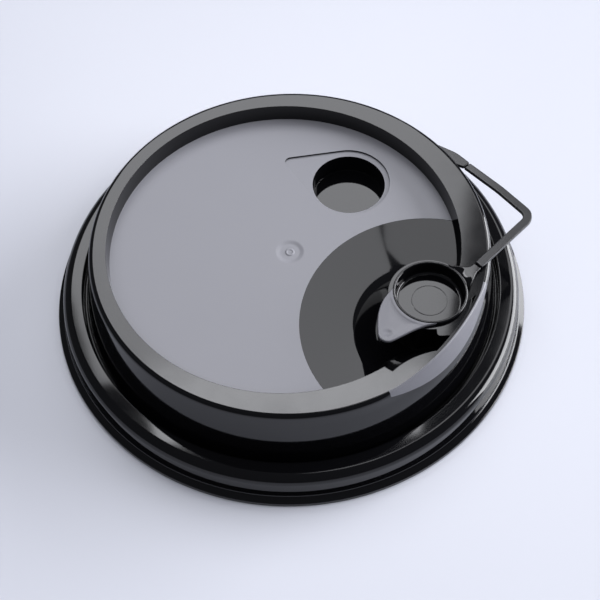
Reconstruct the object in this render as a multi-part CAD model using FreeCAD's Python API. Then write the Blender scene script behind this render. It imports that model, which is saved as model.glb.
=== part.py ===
"""Press-on lid for a 90 mm drinks cup, with a stopper that stays on the lid by a strap.

Millimetres. The origin is on the axis of the cup rim at the plane that the skirt stands on,
+Z is up, and the drinking hole is towards +X and -Y.
"""
import os
from math import acos, atan2, cos, degrees, hypot, radians, sin, tan

import FreeCAD
import Part

AXIS = (0.0, 0.0)


def on_circle(centre, radius, azimuth):
    """Point of a circle at an azimuth in degrees."""
    return (centre[0] + radius * cos(radians(azimuth)), centre[1] + radius * sin(radians(azimuth)))


def beside(point, right, away):
    """Point at a plan offset from another."""
    return (point[0] + right, point[1] + away)


# Wall and overall sizes: the cup's rim sets the skirt and the crown
WALL = 0.7
CUP_RIM_RADIUS = 45.0
SKIRT_REACH = 2.75
SKIRT_RADIUS = CUP_RIM_RADIUS + SKIRT_REACH
LID_TOP = 18.6
EDGE_ROUND = 0.8

# A rounding turned about an axis is drawn as a few flats: one below the first size,
# two below the second, three above, because a true torus costs thousands of facets
ONE_FLAT_BELOW = 0.6
TWO_FLATS_BELOW = 1.0

# Rim that snaps over the rolled edge of the cup
CUP_RIM_WIDTH = 2.3
RIM_TOP = 6.95
RIM_PLAY = 0.3
SKIRT_DRAFT = 0.3
SKIRT_FOOT_HEIGHT = 1.0
SKIRT_FLARE_HEIGHT = 2.4
SNAP_BEAD = 0.45
SNAP_BEAD_HEIGHT = 2.7
SNAP_BEAD_CATCH = 0.54
SNAP_BEAD_LEAD = 0.9
CHANNEL_FLOOR = 4.6
CHANNEL_ROUND = 0.25
INNER_LEG_DRAFT = 0.2
RIM_EDGE_ROUND = 0.4
SHOULDER_ROUND = 1.9
FLARE_DEPTH = 0.9
FLARE_STEP = 0.15
FOOT_WIDTH = 1.0

# Crown
CROWN_INSET = 5.96
CROWN_TOP_RADIUS = CUP_RIM_RADIUS - CROWN_INSET
CROWN_DRAFT = 2.3
CROWN_JOIN = 2.0

# Flattened drinking side: a cone with its axis beyond the lid's own
LIP_AZIMUTH = -40.0
LIP_INSET = 1.14
LIP_REACH = CROWN_TOP_RADIUS - LIP_INSET
LIP_CONE_OFFSET = 15.0
LIP_CONE_SLOPE = 0.164
LIP_EDGE_ROUND = 0.25
LIP_WALL = 0.8

# Sunken disc, off the lid's axis so that the ring is wide on the drinking side
DISC_CENTRE = (-1.2, 0.5)
DISC_LEVEL = 14.9
RING_WIDTH = 4.74
DISC_RADIUS = CROWN_TOP_RADIUS - RING_WIDTH
DISC_DRAFT = 0.3

# Fan-shaped drinking recess
FAN_INSET = 7.28
FAN_CENTRE = on_circle(AXIS, CROWN_TOP_RADIUS - FAN_INSET, -33.44)
FAN_CLEARANCE = 9.3
FAN_RADIUS = DISC_RADIUS - FAN_CLEARANCE
FAN_STEP_RADIUS = 14.8
FAN_STEP_LEVEL = 12.9
FAN_FLOOR_RADIUS = 10.5
FAN_FLOOR_LEVEL = 11.0
FAN_STEP_ROUND = 2.0
FAN_FLOOR_ROUND = 1.0

# Slope between the recess and the ring in front of the spout
CUSHION_OUTSET = 11.18
CUSHION_CENTRE = on_circle(AXIS, CROWN_TOP_RADIUS + CUSHION_OUTSET, -54.73)
CUSHION_RADIUS = 15.3
CUSHION_SPREAD = 5.4
BRIDGE_INSET = 2.11
BRIDGE_START = on_circle(AXIS, CROWN_TOP_RADIUS - BRIDGE_INSET, -23.37)
BRIDGE_ANGLE = 42.0

# Spout boss, its land to the outer wall, and the drinking hole
SPOUT_INSET = 9.52
SPOUT_CENTRE = on_circle(AXIS, CROWN_TOP_RADIUS - SPOUT_INSET, -26.78)
HOLE_RADIUS = 6.75
SPOUT_WALL = 1.15
SPOUT_DRAFT = 0.2
SPOUT_EDGE = 0.2
SPOUT_PLAY = 0.2
LAND_FROM = -31.0
LAND_CORNER = beside(SPOUT_CENTRE, 0.65, -9.35)
LAND_CORNER_ROUND = 0.6
LAND_LENGTH = 9.8

# Parking well for the stopper
WELL_INSET = 18.06
WELL_CENTRE = on_circle(AXIS, CROWN_TOP_RADIUS - WELL_INSET, 54.11)
WELL_RADIUS = 7.4
WELL_DRAFT = 0.35
WELL_FLOOR = 10.2
WELL_FOOT_ROUND = 0.4
PARKING_CENTRE = beside(WELL_CENTRE, 0.0, 0.4)
PARKING_LEDGE = 1.0
PARKING_RADIUS = WELL_RADIUS + PARKING_LEDGE
PARKING_TIP = beside(WELL_CENTRE, -11.7, 5.9)
PARKING_TIP_RADIUS = 1.3
PARKING_DEPTH = 0.4

# Gate mark in the middle of the disc
GATE_RADIUS = 2.9
GATE_FLAT_RADIUS = 1.6
GATE_DEPTH = 0.2
GATE_NUB_RADIUS = 0.8
GATE_NUB_HEIGHT = 0.12

# Stopper
FLANGE_GAP = 0.1
FLANGE_THICKNESS = 0.45
FLANGE_OVERLAP = 0.35
FLANGE_RADIUS = HOLE_RADIUS + FLANGE_OVERLAP
LIP_RIM_HEIGHT = 0.75
LIP_RIM_WIDTH = 0.5
LIP_RIM_ROUND = 0.2
PLUG_CLEARANCE = 0.15
PLUG_TAPER = 0.5
PLUG_DEPTH = 4.5
PLUG_WALL = 0.45
PLUG_ROUND = 0.4
PLUG_MARK_RADIUS = 3.5
PLUG_MARK_DEPTH = 0.1
TAB_TIP = beside(SPOUT_CENTRE, -8.6, -9.0)
TAB_TIP_RADIUS = 1.75
TAB_BULGE = 1.4
TAB_HOLLOW = 0.75
TAB_RIM = 0.45
TAB_DISH = 0.22
DIMPLE_RADIUS = 0.9
DIMPLE_DEPTH = 0.2

# Strap
STRAP_WIDTH = 1.75
STRAP_THICKNESS = 0.8
STRAP_OVER_RING = 0.25
STRAP_ROOT = on_circle(AXIS, CROWN_TOP_RADIUS + 1.14, 26.55)
STRAP_ELBOW = on_circle(AXIS, CROWN_TOP_RADIUS + 8.32, 5.45)
STRAP_NECK = beside(SPOUT_CENTRE, 9.55, 5.8)
STRAP_ELBOW_ROUND = 0.8
STRAP_ROOT_TOP = 18.35
HINGE_GAP = 0.2
ROOT_STUB_LENGTH = 7.0
ROOT_STUB_AZIMUTH = 46.0
ROOT_STUB_ROUND = 5.0
NECK_ROUND = 1.6


def rounded_outline(corners, in_flats=False):
    """Closed outline through (x, y, radius) corners, each rounded by its own radius."""
    points = [FreeCAD.Vector(x, y, 0) for x, y, _ in corners]
    ends = []
    for index, (x, y, radius) in enumerate(corners):
        here = points[index]
        back = (points[index - 1] - here).normalize()
        ahead = (points[(index + 1) % len(points)] - here).normalize()
        if radius <= 0:
            ends.append((here, None, here))
            continue
        half = acos(max(-1.0, min(1.0, back.dot(ahead)))) / 2
        run = radius / tan(half)
        middle = here + (back + ahead).normalize() * (radius / sin(half) - radius)
        ends.append((here + back * run, middle, here + ahead * run))
    edges = []
    for index, (start, middle, end) in enumerate(ends):
        if middle is not None and in_flats:
            radius = corners[index][2]
            flats = 1 + (radius >= ONE_FLAT_BELOW) + (radius >= TWO_FLATS_BELOW)
            stops = Part.Arc(start, middle, end).discretize(flats + 1)
            edges += [Part.LineSegment(a, b).toShape() for a, b in zip(stops, stops[1:])]
        elif middle is not None:
            edges.append(Part.Arc(start, middle, end).toShape())
        following = ends[(index + 1) % len(ends)][0]
        if end.distanceToPoint(following) > 1e-6:
            edges.append(Part.LineSegment(end, following).toShape())
    return Part.Wire(edges)


def turned(corners, centre=AXIS):
    """Solid of revolution of an (r, z, radius) outline about a vertical axis."""
    face = Part.Face(rounded_outline(corners, in_flats=True))
    face.rotate(FreeCAD.Vector(0, 0, 0), FreeCAD.Vector(1, 0, 0), 90)
    solid = face.revolve(FreeCAD.Vector(0, 0, 0), FreeCAD.Vector(0, 0, 1), 360)
    solid.translate(FreeCAD.Vector(centre[0], centre[1], 0))
    return Part.Solid(Part.Shell(solid.Faces))


def prism(wire, bottom, top):
    """Upright prism between two levels over a flat closed outline."""
    face = Part.Face(wire)
    face.translate(FreeCAD.Vector(0, 0, bottom))
    return face.extrude(FreeCAD.Vector(0, 0, top - bottom))


def disc(radius, bottom, top, centre=AXIS):
    """Upright cylinder."""
    return Part.makeCylinder(radius, top - bottom, FreeCAD.Vector(centre[0], centre[1], bottom))


def drop_outline(centre, radius, tip, tip_radius, far_bulge=0.0, near_hollow=0.0):
    """Drop: a large circle and a small one at the tip, joined by two side arcs.

    The side arcs are straight, or bulge out and hollow in by the given heights.
    """
    angle = degrees(atan2(tip[1] - centre[1], tip[0] - centre[0]))
    length = hypot(tip[0] - centre[0], tip[1] - centre[1])
    spread = degrees(acos((radius - tip_radius) / length))
    sides = []
    for turn, height in ((-spread, far_bulge), (spread, -near_hollow)):
        large = on_circle(centre, radius, angle + turn)
        small = on_circle(tip, tip_radius, angle + turn)
        middle = ((large[0] + small[0]) / 2, (large[1] + small[1]) / 2)
        sides.append((large, on_circle(middle, height, angle + turn), small))
    crown_point = on_circle(centre, radius, angle + 180)
    tip_point = on_circle(tip, tip_radius, angle)

    def edge(first, middle, last):
        ends = [FreeCAD.Vector(p[0], p[1], 0) for p in (first, middle, last)]
        straight = abs((ends[1] - ends[0]).cross(ends[2] - ends[0]).z) < 1e-6
        if straight:
            return Part.LineSegment(ends[0], ends[2]).toShape()
        return Part.Arc(*ends).toShape()

    (far, near) = sides
    return Part.Wire([
        edge(near[0], crown_point, far[0]),
        edge(*far),
        edge(far[2], tip_point, near[2]),
        edge(*reversed(near)),
    ])


def lip_cone(skin):
    """Cone that flattens the drinking side, drawn in by skin."""
    centre = on_circle(AXIS, LIP_CONE_OFFSET, LIP_AZIMUTH + 180)
    top_radius = LIP_REACH + LIP_CONE_OFFSET - skin
    depth = LID_TOP - CHANNEL_FLOOR + 2 * WALL
    foot_radius = top_radius + LIP_CONE_SLOPE * depth
    top = LID_TOP - skin
    rounding = LIP_EDGE_ROUND - skin
    above = 0.0 if rounding > 0 else 1.0
    return turned([
        (0, top - depth, 0),
        (foot_radius, top - depth, 0),
        (top_radius - LIP_CONE_SLOPE * above, top + above, max(rounding, 0)),
        (0, top + above, 0),
    ], centre)


def wall_radius(level):
    """Outer radius of the crown's drafted wall at a level."""
    return CROWN_TOP_RADIUS + CROWN_DRAFT * (LID_TOP - level) / (LID_TOP - CHANNEL_FLOOR)


def crown(skin):
    """Crown drawn in by skin, solid down to where the rim's section takes over."""
    foot = CHANNEL_FLOOR + CROWN_JOIN - skin
    body = turned([
        (0, foot, 0),
        (wall_radius(foot) - skin, foot, 0),
        (wall_radius(LID_TOP - skin) - skin, LID_TOP - skin, max(EDGE_ROUND - skin, 0.1)),
        (0, LID_TOP - skin, 0),
    ])
    return body.common(lip_cone(skin))


def disc_pocket(skin):
    """Sunken disc and the fan-shaped recess in it, grown by skin.

    Both floors are cut up to the same drafted wall inside the ring.
    """
    low = FAN_FLOOR_LEVEL - 2 * WALL
    high = LID_TOP + 1.0
    slope = DISC_DRAFT / (LID_TOP - DISC_LEVEL)
    wall = turned([
        (0, low, 0),
        (DISC_RADIUS + skin - slope * (DISC_LEVEL - low), low, 0),
        (DISC_RADIUS + skin + slope * (high - DISC_LEVEL), high, 0),
        (0, high, 0),
    ], DISC_CENTRE)
    flat = disc(2 * DISC_RADIUS, DISC_LEVEL - skin, high + 1.0)
    fan = turned([
        (0, FAN_FLOOR_LEVEL - skin, 0),
        (FAN_FLOOR_RADIUS + skin / 2, FAN_FLOOR_LEVEL - skin, FAN_FLOOR_ROUND),
        (FAN_STEP_RADIUS + skin / 2, FAN_STEP_LEVEL - skin, FAN_STEP_ROUND),
        (FAN_RADIUS + skin / 2, DISC_LEVEL - skin, 0),
        (FAN_RADIUS + skin / 2, high + 1.0, 0),
        (0, high + 1.0, 0),
    ], FAN_CENTRE)
    return wall.common(flat.fuse(fan)).cut(cushion(skin).common(spout_zone(skin)))


def cushion(skin):
    """Sloped land in front of the spout, drawn in by skin."""
    height = LID_TOP - FAN_FLOOR_LEVEL
    slope = CUSHION_SPREAD / height
    low = FAN_FLOOR_LEVEL - 2 * WALL
    high = LID_TOP + 1.0
    return Part.makeCone(
        CUSHION_RADIUS - skin + slope * (LID_TOP - low),
        CUSHION_RADIUS - skin - slope * (high - LID_TOP),
        high - low,
        FreeCAD.Vector(CUSHION_CENTRE[0], CUSHION_CENTRE[1], low),
    )


def bridge(skin):
    """Part of the ring beyond the spout's far side that stays whole."""
    start = on_circle(BRIDGE_START, skin, BRIDGE_ANGLE + 90)
    along = on_circle(start, CROWN_TOP_RADIUS, BRIDGE_ANGLE)
    back = on_circle(start, -CROWN_TOP_RADIUS, BRIDGE_ANGLE)
    far = on_circle(along, CROWN_TOP_RADIUS, BRIDGE_ANGLE + 90)
    far_back = on_circle(back, CROWN_TOP_RADIUS, BRIDGE_ANGLE + 90)
    outline = rounded_outline([(*back, 0), (*along, 0), (*far, 0), (*far_back, 0)])
    return prism(outline, FAN_FLOOR_LEVEL - 2 * WALL, LID_TOP + 2.0)


def spout_zone(skin):
    """Upright cylinder within which the ring opens and the slope rises, grown by skin."""
    return disc(FAN_STEP_RADIUS + SPOUT_PLAY + skin, FAN_FLOOR_LEVEL - skin, LID_TOP + 1.0, FAN_CENTRE)


def spout_pocket(skin):
    """Opening of the ring round the spout, grown by skin."""
    inside = crown(LIP_WALL - skin)
    inside.translate(FreeCAD.Vector(0, 0, LIP_WALL - skin + SPOUT_PLAY))
    pocket = spout_zone(skin).common(inside.fuse(crown(LIP_WALL - skin)))
    return pocket.cut(cushion(skin)).cut(bridge(skin))


def well_pocket(skin):
    """Parking well, grown by skin."""
    return turned([
        (0, WELL_FLOOR - skin, 0),
        (WELL_RADIUS - WELL_DRAFT + skin, WELL_FLOOR - skin, WELL_FOOT_ROUND),
        (WELL_RADIUS + skin, DISC_LEVEL + 1.0, 0),
        (0, DISC_LEVEL + 1.0, 0),
    ], WELL_CENTRE)


def parking_step():
    """Shallow drop-shaped seat for the stopper's flange round the parking well."""
    outline = drop_outline(PARKING_CENTRE, PARKING_RADIUS, PARKING_TIP, PARKING_TIP_RADIUS)
    return prism(outline, DISC_LEVEL - PARKING_DEPTH, DISC_LEVEL + 1.0)


def rim():
    """Channel, inverted U over the cup's rim, and skirt, as one turned section."""
    groove_inner = CUP_RIM_RADIUS - CUP_RIM_WIDTH
    leg_top = groove_inner - WALL
    leg_foot = leg_top - INNER_LEG_DRAFT
    groove_outer = CUP_RIM_RADIUS + RIM_PLAY
    bead_base = groove_outer + SKIRT_DRAFT / 2
    skirt_top = groove_outer + WALL
    skirt_low = skirt_top + SKIRT_DRAFT
    under_channel = CHANNEL_FLOOR - WALL
    join = CHANNEL_FLOOR + CROWN_JOIN
    under_round = CHANNEL_ROUND + WALL / 2
    return turned([
        (wall_radius(join) - WALL, join, 0),
        (wall_radius(under_channel) - WALL, under_channel, under_round),
        (leg_foot + WALL, under_channel, under_round),
        (groove_inner, RIM_TOP - WALL, 0),
        (groove_outer, RIM_TOP - WALL, SHOULDER_ROUND / 2),
        (bead_base, SNAP_BEAD_HEIGHT + SNAP_BEAD_CATCH, 0),
        (bead_base - SNAP_BEAD, SNAP_BEAD_HEIGHT, 0),
        (bead_base + SKIRT_DRAFT / 2, SNAP_BEAD_HEIGHT - SNAP_BEAD_LEAD, 0),
        (SKIRT_RADIUS - FOOT_WIDTH, 0, 0),
        (SKIRT_RADIUS, 0, 0),
        (SKIRT_RADIUS, SKIRT_FOOT_HEIGHT, 0),
        (skirt_low + FLARE_STEP, SKIRT_FLARE_HEIGHT - FLARE_DEPTH, 0),
        (skirt_low, SKIRT_FLARE_HEIGHT, 0),
        (skirt_top, RIM_TOP, SHOULDER_ROUND),
        (leg_top, RIM_TOP, RIM_EDGE_ROUND),
        (leg_foot, CHANNEL_FLOOR, CHANNEL_ROUND),
        (wall_radius(CHANNEL_FLOOR), CHANNEL_FLOOR, CHANNEL_ROUND),
        (wall_radius(join), join, 0),
    ])


def spout():
    """Boss round the drinking hole, and the land that ties it to the outer wall."""
    outer = HOLE_RADIUS + SPOUT_WALL
    low = FAN_FLOOR_LEVEL - WALL
    boss = turned([
        (0, low, 0),
        (outer + SPOUT_DRAFT, low, 0),
        (outer, LID_TOP, SPOUT_EDGE),
        (0, LID_TOP, 0),
    ], SPOUT_CENTRE)
    near = on_circle(SPOUT_CENTRE, LAND_LENGTH, LAND_FROM)
    side = (near[0], LAND_CORNER[1])
    root = (LAND_CORNER[0] - SPOUT_EDGE, SPOUT_CENTRE[1])
    outline = [(*root, 0), (*LAND_CORNER, LAND_CORNER_ROUND), (*side, 0), (*near, 0), (*SPOUT_CENTRE, 0)]
    land = prism(rounded_outline(outline), low, LID_TOP)
    return boss.fuse(land)


def gate_mark():
    """Shallow dimple left by the moulding gate, with its nub."""
    dimple = turned([
        (0, DISC_LEVEL - GATE_DEPTH, 0),
        (GATE_FLAT_RADIUS, DISC_LEVEL - GATE_DEPTH, 0),
        (GATE_RADIUS, DISC_LEVEL, 0),
        (GATE_RADIUS, DISC_LEVEL + 0.5, 0),
        (0, DISC_LEVEL + 0.5, 0),
    ])
    nub = disc(GATE_NUB_RADIUS, DISC_LEVEL - GATE_DEPTH - 0.1, DISC_LEVEL - GATE_DEPTH + GATE_NUB_HEIGHT)
    return dimple, nub


def strap_tilt():
    """Lean of the strap's plane: it climbs from the crown wall to pass over the ring."""
    rise = LID_TOP + STRAP_OVER_RING + STRAP_THICKNESS - STRAP_ROOT_TOP
    return degrees(atan2(rise, STRAP_ROOT[1] - STRAP_NECK[1]))


def laid_in_strap_plane(shape):
    """Turn a shape drawn flat at the strap root's level into the strap's leaning plane."""
    pivot = FreeCAD.Vector(STRAP_ROOT[0], STRAP_ROOT[1], STRAP_ROOT_TOP)
    shape.rotate(pivot, FreeCAD.Vector(1, 0, 0), -strap_tilt())
    return shape


def strap_frame():
    """Ends and bend of the strap's centre line, and the directions of its two arms."""
    root = FreeCAD.Vector(*STRAP_ROOT, 0)
    elbow = FreeCAD.Vector(*STRAP_ELBOW, 0)
    neck = FreeCAD.Vector(*STRAP_NECK, 0)
    return root, elbow, neck, (elbow - root).normalize(), (neck - elbow).normalize()


def left_of(direction):
    """Unit direction a quarter turn to the left in plan."""
    return FreeCAD.Vector(-direction.y, direction.x, 0)


def neck_face(gap):
    """Two corners of the inner arm where it is cut square to the hinge axis.

    The cut lies at the neck, moved along the arm by gap.
    """
    _, _, neck, outward, inward = strap_frame()
    axis = left_of(outward)
    half = STRAP_WIDTH / 2
    corners = []
    for side in (-half, half):
        corner = neck + left_of(inward) * side
        slide = (neck - corner).dot(axis) / inward.dot(axis)
        corners.append(corner + inward * (slide + gap))
    return corners


def strap():
    """V-shaped flat strip from the hinge on the crown wall to the hinge at the stopper."""
    root, elbow, _, outward, inward = strap_frame()
    half = STRAP_WIDTH / 2
    mitre = (left_of(outward) + left_of(inward)).normalize()
    mitre = mitre * (half / mitre.dot(left_of(outward)))
    start = root + outward * (HINGE_GAP / 2)
    right_end, left_end = neck_face(-HINGE_GAP / 2)
    corners = [
        (start + left_of(outward) * half, 0),
        (start - left_of(outward) * half, 0),
        (elbow - mitre, STRAP_ELBOW_ROUND),
        (right_end, 0),
        (left_end, 0),
        (elbow + mitre, STRAP_ELBOW_ROUND + STRAP_WIDTH),
    ]
    outline = rounded_outline([(p.x, p.y, radius) for p, radius in corners])
    return laid_in_strap_plane(prism(outline, STRAP_ROOT_TOP - STRAP_THICKNESS, STRAP_ROOT_TOP))


def strap_root_stub():
    """Root of the strap: it leaves the crown wall at a slant and ends at the hinge."""
    root, _, _, outward, _ = strap_frame()
    side = left_of(outward) * (STRAP_WIDTH / 2)
    tip = root - outward * (HINGE_GAP / 2)
    bend = tip - outward * ROOT_STUB_LENGTH
    anchor = on_circle(AXIS, CROWN_TOP_RADIUS - WALL / 2, ROOT_STUB_AZIMUTH)
    wire = rounded_outline([
        (tip.x + side.x, tip.y + side.y, 0),
        (bend.x + side.x, bend.y + side.y, ROOT_STUB_ROUND),
        (*anchor, 0),
        (bend.x - 2 * side.x, bend.y - 2 * side.y, 0),
        (tip.x - side.x, tip.y - side.y, 0),
    ])
    return laid_in_strap_plane(prism(wire, STRAP_ROOT_TOP - STRAP_THICKNESS, STRAP_ROOT_TOP))


def lid_body():
    """The whole shell of the lid: outer form less the same form drawn in by the wall."""
    outer = crown(0).cut(disc_pocket(0)).cut(spout_pocket(0))
    outer = outer.cut(well_pocket(0)).cut(parking_step())
    dimple, nub = gate_mark()
    outer = outer.cut(dimple).fuse(nub)
    inner = crown(WALL).cut(disc_pocket(WALL)).cut(spout_pocket(WALL)).cut(well_pocket(WALL))

    shell = outer.fuse(spout().common(crown(0))).cut(inner)
    bore = disc(HOLE_RADIUS, FAN_FLOOR_LEVEL - 2 * WALL, LID_TOP + 1.0, SPOUT_CENTRE)
    shell = shell.fuse(rim()).cut(bore)
    stub = strap_root_stub().cut(crown(WALL / 2))
    return shell.fuse(stub).removeSplitter()


def stopper():
    """Drop-shaped plug: hollow plug, flange with a raised rim, dished tab and gusset."""
    seat = LID_TOP + FLANGE_GAP
    flange_top = seat + FLANGE_THICKNESS
    rim_top = seat + LIP_RIM_HEIGHT
    plug_top_radius = HOLE_RADIUS - PLUG_CLEARANCE
    plug_low_radius = plug_top_radius - PLUG_TAPER
    plug_floor = LID_TOP - PLUG_DEPTH
    tab_outline = drop_outline(
        SPOUT_CENTRE, FLANGE_RADIUS, TAB_TIP, TAB_TIP_RADIUS, TAB_BULGE, TAB_HOLLOW
    )
    tab = prism(tab_outline, seat, flange_top + TAB_RIM / 2)
    dished = tab_outline.makeOffset2D(-TAB_RIM)
    tab = tab.cut(prism(dished, flange_top + TAB_RIM / 2 - TAB_DISH, rim_top + 1.0))
    dimple = Part.makeSphere(
        (DIMPLE_RADIUS ** 2 + DIMPLE_DEPTH ** 2) / (2 * DIMPLE_DEPTH),
        FreeCAD.Vector(TAB_TIP[0], TAB_TIP[1], flange_top + DIMPLE_RADIUS ** 2 / (2 * DIMPLE_DEPTH)),
    )
    tab = tab.cut(dimple)
    cup = turned([
        (0, plug_floor, 0),
        (plug_low_radius, plug_floor, PLUG_ROUND),
        (plug_top_radius, seat, 0),
        (FLANGE_RADIUS, seat, 0),
        (FLANGE_RADIUS, rim_top, LIP_RIM_ROUND),
        (FLANGE_RADIUS - LIP_RIM_WIDTH, rim_top, 0),
        (plug_top_radius - PLUG_WALL, flange_top, 0),
        (plug_low_radius - PLUG_WALL, plug_floor + WALL, PLUG_ROUND),
        (0, plug_floor + WALL, 0),
    ], SPOUT_CENTRE)
    hollow = turned([
        (0, plug_floor + WALL, 0),
        (plug_low_radius - PLUG_WALL, plug_floor + WALL, PLUG_ROUND),
        (plug_top_radius - PLUG_WALL, flange_top, 0),
        (FLANGE_RADIUS - LIP_RIM_WIDTH, rim_top, 0),
        (FLANGE_RADIUS - LIP_RIM_WIDTH, rim_top + 1.0, 0),
        (0, rim_top + 1.0, 0),
    ], SPOUT_CENTRE)
    mark = disc(PLUG_MARK_RADIUS, plug_floor + WALL - PLUG_MARK_DEPTH, plug_floor + WALL + 0.1, SPOUT_CENTRE)
    return cup.fuse(tab.cut(hollow)).fuse(neck_gusset().cut(hollow)).cut(mark).removeSplitter()


def neck_gusset():
    """Web between the stopper's rim and the strap's inner arm, rounded into the rim."""
    _, _, neck, _, inward = strap_frame()
    half = left_of(inward) * (STRAP_WIDTH / 2)
    right_face, left_face = neck_face(HINGE_GAP / 2)
    centre = FreeCAD.Vector(*SPOUT_CENTRE, 0)
    across = left_of(inward) * (FLANGE_RADIUS * 0.6)
    bend = neck + inward * NECK_ROUND
    wire = rounded_outline([
        (p.x, p.y, radius) for p, radius in (
            (left_face, 0), (bend + half, NECK_ROUND), (centre + across, 0),
            (centre - across, 0), (bend - half, NECK_ROUND), (right_face, 0),
        )
    ])
    flat = prism(wire, STRAP_ROOT_TOP - STRAP_THICKNESS, STRAP_ROOT_TOP)
    return laid_in_strap_plane(flat)


def main():
    """Write one STEP file for each piece."""
    os.makedirs("parts", exist_ok=True)
    pieces = {"lid_body": lid_body(), "strap": strap(), "stopper": stopper()}
    for name, shape in pieces.items():
        shape.exportStep(os.path.join("parts", name + ".step"))
        print(name, shape.isValid(), len(shape.Solids), round(shape.Volume, 2), shape.BoundBox)


main()
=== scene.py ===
"""Moulded polypropylene lid for a hot drinks cup, dressed for a close look.

The lid is one moulding with a thin wall, and a stopper that hangs on it by a flat strap.
Every shape is worked out in millimetres in the lid's own frame, with the origin on the cup's
axis at the plane that the skirt stands on, and is scaled to metres when its mesh is made.
Plan points are rows of x and y, and a skin is how far a surface is drawn in from the outside.
"""
import logging
import math
from collections.abc import Callable
from dataclasses import dataclass, field
from enum import Enum

import bpy
import numpy as np
from mathutils import Matrix, Quaternion, Vector
from mathutils.geometry import delaunay_2d_cdt


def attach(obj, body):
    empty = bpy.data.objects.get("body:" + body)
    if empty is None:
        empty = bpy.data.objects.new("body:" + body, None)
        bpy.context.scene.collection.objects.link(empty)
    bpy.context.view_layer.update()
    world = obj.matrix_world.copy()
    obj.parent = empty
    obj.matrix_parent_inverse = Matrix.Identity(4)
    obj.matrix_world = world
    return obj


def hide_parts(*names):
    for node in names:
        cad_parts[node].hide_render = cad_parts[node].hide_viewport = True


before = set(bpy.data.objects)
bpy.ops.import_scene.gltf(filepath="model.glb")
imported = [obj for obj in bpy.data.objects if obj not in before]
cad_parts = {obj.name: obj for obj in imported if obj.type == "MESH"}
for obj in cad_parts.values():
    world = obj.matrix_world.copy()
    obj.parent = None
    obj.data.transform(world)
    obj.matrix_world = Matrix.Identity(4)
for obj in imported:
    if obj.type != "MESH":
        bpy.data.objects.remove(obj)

log = logging.getLogger("lid")

MM = 0.001
TURN = 2 * math.pi
QUARTER = math.pi / 2
WALL = 0.7
CROWN_LEVEL = 18.6

Corner = tuple[float, float, float]
PlanHeight = Callable[[np.ndarray], np.ndarray]
EdgedHeight = Callable[[np.ndarray, np.ndarray], np.ndarray]


# ---------------------------------------------------------------- plan curves and sections


def left_of(way: np.ndarray) -> np.ndarray:
    """Directions turned a quarter to the left, for one pair or for rows of pairs."""
    return np.stack([-way[..., 1], way[..., 0]], axis=-1)


def unit(way: np.ndarray) -> np.ndarray:
    """Directions scaled to a length of one, for one pair or for rows of pairs."""
    return way / np.hypot(way[..., 0], way[..., 1])[..., None]


@dataclass(frozen=True)
class Circle:
    """Circle in plan: every point at one distance from a centre."""

    x: float
    y: float
    radius: float

    @property
    def centre(self) -> np.ndarray:
        """The centre as a pair."""
        return np.array([self.x, self.y])

    def distance(self, plan: np.ndarray) -> np.ndarray:
        """Distance of plan points from the centre."""
        return np.hypot(plan[:, 0] - self.x, plan[:, 1] - self.y)

    def within(self, plan: np.ndarray, by: float = 0.0) -> np.ndarray:
        """Whether plan points lie inside the circle when its radius is larger by a length."""
        return self.distance(plan) < self.radius + by

    def grown(self, by: float) -> "Circle":
        """Circle with the same centre and a radius larger by a length."""
        return Circle(self.x, self.y, self.radius + by)

    def at(self, angle: np.ndarray) -> np.ndarray:
        """Points of the circle at the given angles."""
        return np.column_stack([
            self.x + self.radius * np.cos(angle), self.y + self.radius * np.sin(angle)])

    def points(self, step: float) -> np.ndarray:
        """Points all round the circle, about one step apart."""
        count = max(24, int(round(TURN * self.radius / step)))
        return self.at(np.arange(count) * TURN / count)


@dataclass(frozen=True)
class Drop:
    """Drop in plan: a large and a small circle joined by their outer tangents."""

    head: Circle
    tip: Circle

    def points(self, step: float) -> np.ndarray:
        """Points round the outline, anticlockwise and about one step apart."""
        way = self.tip.centre - self.head.centre
        length = float(np.hypot(*way))
        heading = math.atan2(way[1], way[0])
        spread = math.acos((self.head.radius - self.tip.radius) / length)

        def arc(circle: Circle, start: float, stop: float) -> np.ndarray:
            count = max(6, int(abs(stop - start) * circle.radius / step))
            return circle.at(np.linspace(start, stop, count))

        def side(start: np.ndarray, stop: np.ndarray) -> np.ndarray:
            t = np.linspace(0, 1, max(4, int(length / step)) + 1)[1:-1, None]
            return start + t * (stop - start)

        head = arc(self.head, heading + spread, heading + TURN - spread)
        tip = arc(self.tip, heading - spread, heading + spread)
        return np.vstack([head, side(head[-1], tip[0]), tip, side(tip[-1], head[0])])


def in_outline(outline: np.ndarray, plan: np.ndarray) -> np.ndarray:
    """Whether plan points lie inside a closed outline, by the crossings of a ray."""
    inside = np.zeros(len(plan), bool)
    for (ax, ay), (bx, by) in zip(outline, np.roll(outline, -1, axis=0)):
        crossed = (ay > plan[:, 1]) != (by > plan[:, 1])
        if crossed.any():
            at = ax + (plan[:, 1] - ay) * (bx - ax) / (by - ay if by != ay else 1e-12)
            inside ^= crossed & (plan[:, 0] < at)
    return inside


@dataclass(frozen=True)
class Section:
    """Points of a turned section and the direction that the surface faces at each."""

    points: np.ndarray
    facing: np.ndarray


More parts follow.
